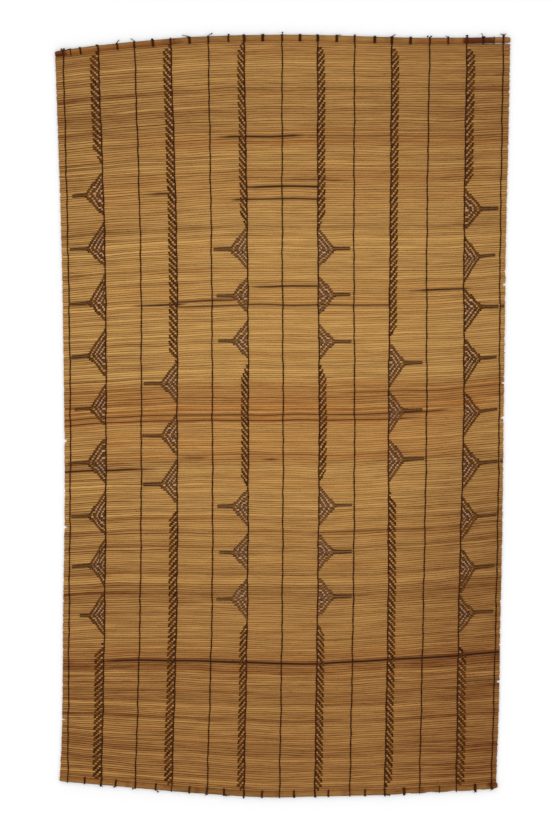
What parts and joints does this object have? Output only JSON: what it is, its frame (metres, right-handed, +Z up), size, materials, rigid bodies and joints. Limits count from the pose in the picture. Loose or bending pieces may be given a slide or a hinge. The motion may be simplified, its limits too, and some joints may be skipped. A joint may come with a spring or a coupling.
{
  "type": "sewn stem mat",
  "caption": "Flat sleeping mat of thin dried stems sewn side by side with dark cords, some edged with twill strips, triangles and bars, and a split cane lashed along each end.",
  "frame": {"origin": "middle of the mat's box, on the surface that it lies on", "axes": "+X along the stems, +Y along the mat towards the end with the redder cane, +Z up out of the patterned face"},
  "size_m": [1.0921, 1.8324, 0.01],
  "materials": {
    "stems": "dried stems, satin, honey tan with stains",
    "top_cane": "split cane, smooth, reddish brown",
    "bottom_cane": "split cane, smooth, tan",
    "cord": "dark twisted cord, dull",
    "strand": "dark strands worked over the stems, slightly waxy"
  },
  "bodies": {
    "root": {"reed_field": "stems", "top_cane": "top_cane", "bottom_cane": "bottom_cane", "sewing_cord_1": "cord", "sewing_cord_2": "cord", "sewing_cord_3": "cord", "sewing_cord_4": "cord", "sewing_cord_5": "cord", "sewing_cord_6": "cord", "sewing_cord_7": "cord", "patterned_cord_1": "strand", "patterned_cord_2": "strand", "patterned_cord_3": "strand", "patterned_cord_4": "strand", "patterned_cord_5": "strand", "patterned_cord_6": "strand", "top_tie_1": "cord", "top_tie_2": "cord", "top_tie_3": "cord", "top_tie_4": "cord", "top_tie_5": "cord", "top_tie_6": "cord", "top_tie_7": "cord", "top_tie_8": "cord", "top_tie_9": "cord", "top_tie_10": "cord", "top_tie_11": "cord", "top_tie_12": "cord", "top_tie_13": "cord", "top_tie_14": "cord", "bottom_tie_1": "cord", "bottom_tie_2": "cord", "bottom_tie_3": "cord", "bottom_tie_4": "cord", "bottom_tie_5": "cord", "bottom_tie_6": "cord", "bottom_tie_7": "cord", "bottom_tie_8": "cord", "bottom_tie_9": "cord", "bottom_tie_10": "cord", "bottom_tie_11": "cord", "bottom_tie_12": "cord"}
  },
  "joints": []
}
